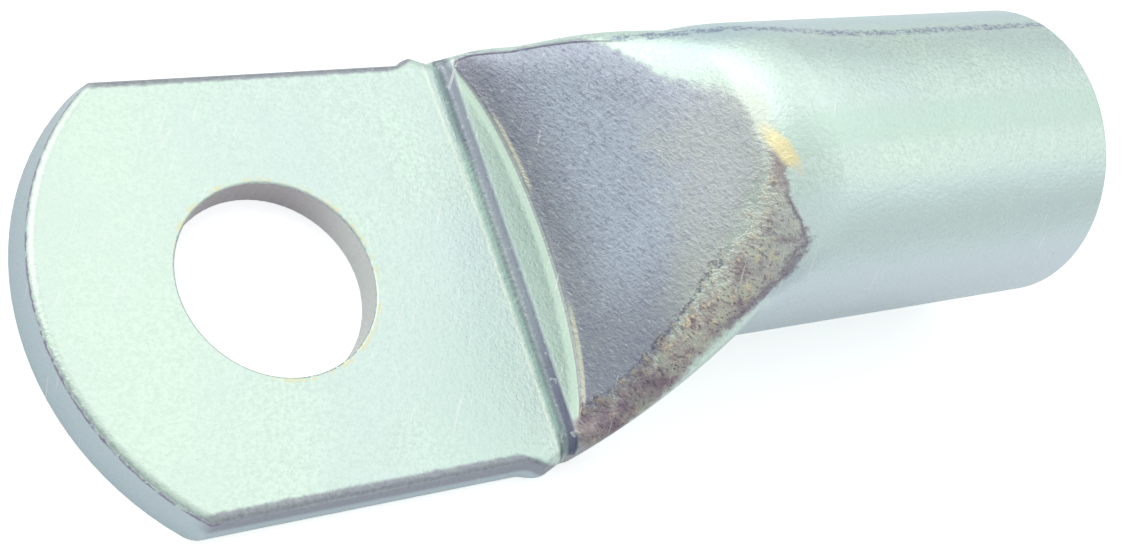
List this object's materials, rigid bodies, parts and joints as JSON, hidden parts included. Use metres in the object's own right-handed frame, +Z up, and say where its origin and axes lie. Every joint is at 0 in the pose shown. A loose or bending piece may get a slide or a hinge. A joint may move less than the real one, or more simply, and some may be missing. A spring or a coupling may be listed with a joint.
{
  "type": "cable lug",
  "caption": "Tubular cable lug of tinned copper: a round barrel that takes a stranded conductor, pressed flat at the other end into a palm punched for a stud.",
  "frame": {"origin": "centre of the stud hole on the underside of the palm", "axes": "+X along the lug to the open mouth of the barrel, +Z up through the stud hole, out of the palm's upper face"},
  "size_m": [0.0712, 0.0302, 0.0207],
  "materials": {
    "tinned_copper": "satin tin plating over copper"
  },
  "bodies": {
    "root": {"lug": "tinned_copper"}
  },
  "joints": []
}
